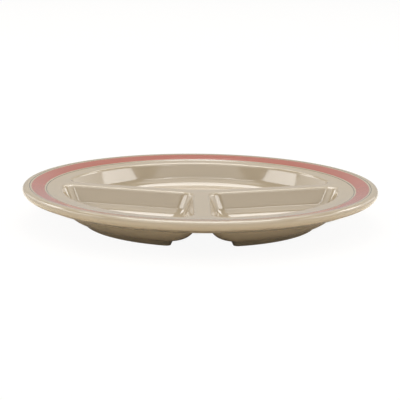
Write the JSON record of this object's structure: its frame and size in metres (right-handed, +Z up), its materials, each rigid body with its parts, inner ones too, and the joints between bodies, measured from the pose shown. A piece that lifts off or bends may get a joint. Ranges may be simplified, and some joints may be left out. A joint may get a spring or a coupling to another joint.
{
  "type": "divided compartment plate",
  "caption": "Round divided plate in tan, with a large well behind smaller ones, dividers between them, and a sloping rim with a terracotta band edged by pinstripes.",
  "frame": {"origin": "centre of the plate, in the plane on which its foot rings rest", "axes": "+Z up out of the plate, the front divider runs along -Y from the centre, and +X is to the right of a viewer at the front divider"},
  "size_m": [0.254, 0.254, 0.0269],
  "materials": {
    "body": "gloss",
    "foil": "gloss",
    "band": "gloss",
    "stripe": "gloss"
  },
  "bodies": {
    "root": {"plate_body": "body", "rim_foil": "foil", "color_band": "band", "outer_pinstripe": "stripe", "inner_pinstripe": "stripe"}
  },
  "joints": []
}
